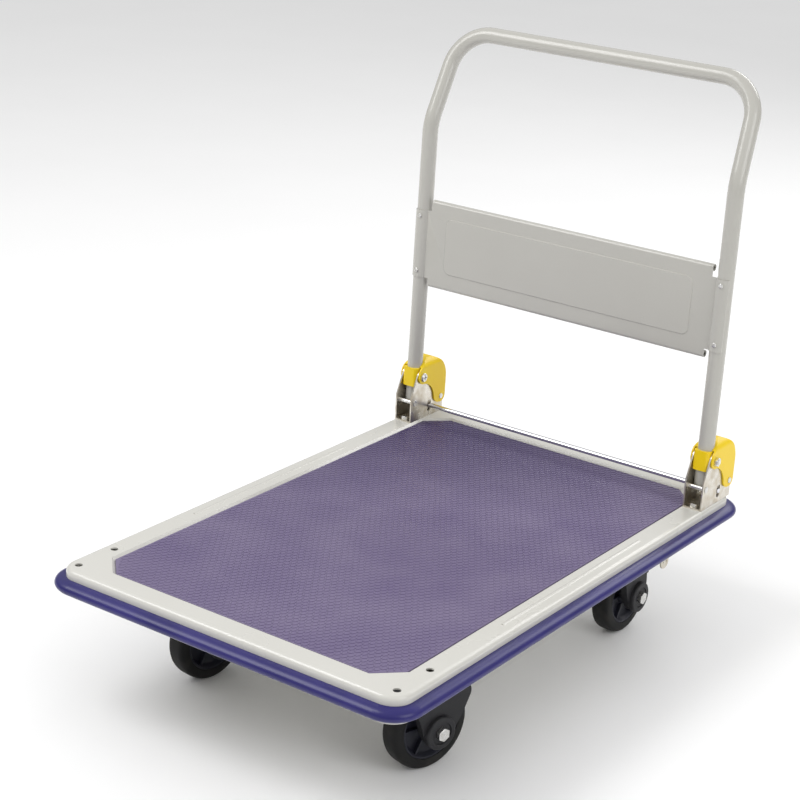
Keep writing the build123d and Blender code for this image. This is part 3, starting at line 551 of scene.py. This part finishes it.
def spoke_tree(count):
    tree = Tree("wheel_spokes", Inner=HUB_R - MM, Outer=RIM_R - 4 * MM, Depth=2 * (TREAD_HALF - 4 * MM))
    rib = tree.node(
        "GeometryNodeMeshCube",
        inputs={"Size": tree.vector(tree["Depth"], tree["Outer"] - tree["Inner"], RIB_THICK)},
    )
    middle = (tree["Outer"] + tree["Inner"]) * 0.5
    rib = tree.node("GeometryNodeTransform", inputs={"Geometry": rib, "Translation": tree.vector(0.0, middle, 0.0)})
    point = tree.node("GeometryNodeMeshLine", {"mode": "OFFSET"}, {"Count": count, "Offset": (0.0, 0.0, 0.0)})
    index = tree.node("GeometryNodeInputIndex")
    turn = tree.vector(index * (2 * math.pi / count), 0.0, 0.0)
    tree.finish(tree.node(
        "GeometryNodeInstanceOnPoints", inputs={"Points": point, "Instance": rib, "Rotation": turn},
    ), wheel_nylon)
    return tree


def core_profile():
    lip = TREAD_HALF - 0.4 * MM
    dish = 5.0 * MM
    right = [
        (lip - 1.2 * MM, RIM_R), (lip, RIM_R - 0.8 * MM),
        (lip, RIM_R - 2.6 * MM), (lip - 1.5 * MM, RIM_R - 4.0 * MM),
        (dish + 2 * MM, RIM_R - 5.5 * MM), (dish, RIM_R - 8 * MM), (dish, HUB_R + 3 * MM), (dish + 2 * MM, HUB_R),
        (HUB_HALF - MM, HUB_R - 2.2 * MM), (HUB_HALF, HUB_R - 3.2 * MM), (HUB_HALF, BUSH_R),
    ]
    return right + [(-x, r) for x, r in reversed(right)]


# %% Four wheels
spokes = spoke_tree(SPOKES)
for name in ("front_left", "front_right", "rear_left", "rear_right"):
    place = wheel_place(name)
    body = "wheel_" + name
    arc = squared_arc(TREAD_HALF, RIM_R, WHEEL_R - FLOOR_GAP)
    tyre = turned("tyre_" + name + "_piece", arc, rubber, place)
    settle(tyre, body, "tyre_rubber", "tyre_" + name)
    core = turned("wheel_core_" + name + "_piece", core_profile(), wheel_nylon, place)
    settle(core, body, "wheel_nylon", "wheel_core_" + name)
    ribs = spokes.grow("wheel_spokes_" + name, wheel_nylon)
    ribs.data.transform(place)
    settle(ribs, body, "wheel_nylon")

# %% [markdown]
# The lock rod's springs are hidden deep between the cheeks, but they are wound wire all the same.
# A spiral with a wire section is two nodes and a transform. Each spring stands on the bracket, and the
# share of its length it would keep at the rod's full travel is printed.


# %% Springs
spring_low, spring_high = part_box("lock_springs")
WIRE = 0.6 * MM
FOOT_R = 7.8 * MM
HEAD_R = 6.2 * MM
COILS = 4.0


def spring_tree(centre_x, centre_y):
    height = spring_high.z - spring_low.z - 2 * WIRE
    tree = Tree("lock_spring", Height=height, Foot=FOOT_R, Head=HEAD_R, Wire=WIRE)
    path = tree.node(
        "GeometryNodeCurveSpiral",
        inputs={"Resolution": 32, "Rotations": COILS, "Start Radius": tree["Foot"], "End Radius": tree["Head"],
                "Height": tree["Height"]},
    )
    section = tree.node("GeometryNodeCurvePrimitiveCircle", inputs={"Resolution": 10, "Radius": tree["Wire"]})
    coil = tree.node(
        "GeometryNodeCurveToMesh", inputs={"Curve": path, "Profile Curve": section, "Fill Caps": True},
    )
    place = (centre_x, centre_y, spring_low.z + WIRE)
    tree.finish(tree.node("GeometryNodeTransform", inputs={"Geometry": coil, "Translation": place}), bolt_zinc)
    return tree


rod_low, rod_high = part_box("lock_rod")
press = next(joint for joint in frame["record"]["behaviour"]["joints"] if joint["name"] == "lock_press")
spring_length = spring_high.z - spring_low.z
spring_keep = 1 - press["range_m"][1] / spring_length
print("springs keep", round(spring_keep, 3), "of their length")
for name in ("left", "right"):
    low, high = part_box("handle_bracket_" + name)
    wound = spring_tree((low.x + high.x) / 2, (rod_low.y + rod_high.y) / 2)
    coil = wound.grow("lock_spring_" + name, bolt_zinc)
    coil.data.polygons.foreach_set("use_smooth", [True] * len(coil.data.polygons))
    replaced = ["lock_springs"] if name == "left" else []
    settle(coil, "deck", "fastener_zinc", *replaced)
    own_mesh(coil)

# %% [markdown]
# The set is a plain pale floor, a soft key from the left and above, a broad fill from the right and
# a sky that darkens towards the horizon, so that chrome, zinc and gloss have an edge to reflect.


# %% Floor, lights and camera
def floor_plane():
    mesh = bpy.data.meshes.new("floor")
    size = 40.0
    corners = [(-size, -size, 0), (size, -size, 0), (size, size, 0), (-size, size, 0)]
    mesh.from_pydata(corners, [], [(0, 1, 2, 3)])
    paint = Finish("floor_paint", Roughness=0.8)
    grain = paint.noise(3.0, 3.0)
    paint.feed(Base_Color=paint.mix(grain, rgba(0.93, 0.93, 0.93), rgba(0.96, 0.96, 0.96)))
    floor = new_piece("floor", mesh, paint.material)
    return floor


def softbox(name, place, target, size, power):
    light = bpy.data.lights.new(name, "AREA")
    light.shape = "RECTANGLE"
    light.size, light.size_y = size
    light.energy = power
    lamp = bpy.data.objects.new(name, light)
    bpy.context.scene.collection.objects.link(lamp)
    lamp.location = place
    lamp.rotation_euler = (Vector(target) - Vector(place)).to_track_quat("-Z", "Y").to_euler()


floor_plane()
middle = (Vector(cad_box[0]) + Vector(cad_box[1])) / 2
softbox("key", (-1.8, -1.6, 3.0), middle, (1.6, 2.2), 58.0)
softbox("fill", (3.2, -0.6, 2.0), middle, (2.0, 2.0), 32.0)
softbox("back", (0.4, 3.2, 2.4), middle, (2.6, 1.2), 34.0)
world = bpy.data.worlds.new("sky")
bpy.context.scene.world = world
world.use_nodes = True
sky = Net(world.node_tree)
toward = sky.node("ShaderNodeSeparateXYZ", inputs={0: sky.node("ShaderNodeTexCoord", out="Generated")}, out=2)
SKY_STOPS = ((0.0, 0.30), (0.12, 0.36), (0.55, 0.95), (1.0, 1.0))
level = sky.node("ShaderNodeValToRGB", {"stops": SKY_STOPS}, {0: toward})
background = world.node_tree.nodes["Background"]
world.node_tree.links.new(level.socket, background.inputs["Color"])
background.inputs["Strength"].default_value = 0.80
bpy.context.scene.view_settings.view_transform = "Standard"


def camera(place, azimuth, elevation, roll, lens):
    data = bpy.data.cameras.new("camera")
    data.lens = lens
    data.sensor_width = 36.0
    eye = bpy.data.objects.new("camera", data)
    bpy.context.scene.collection.objects.link(eye)
    turn = Matrix.Rotation(math.radians(azimuth), 4, "Z") @ Matrix.Rotation(math.radians(90 - elevation), 4, "X")
    eye.matrix_world = Matrix.Translation(place) @ turn @ Matrix.Rotation(math.radians(roll), 4, "Z")
    bpy.context.scene.camera = eye


camera(place=(1.5282, -2.2318, 1.3987), azimuth=35.096, elevation=20.235, roll=2.924, lens=91.35)
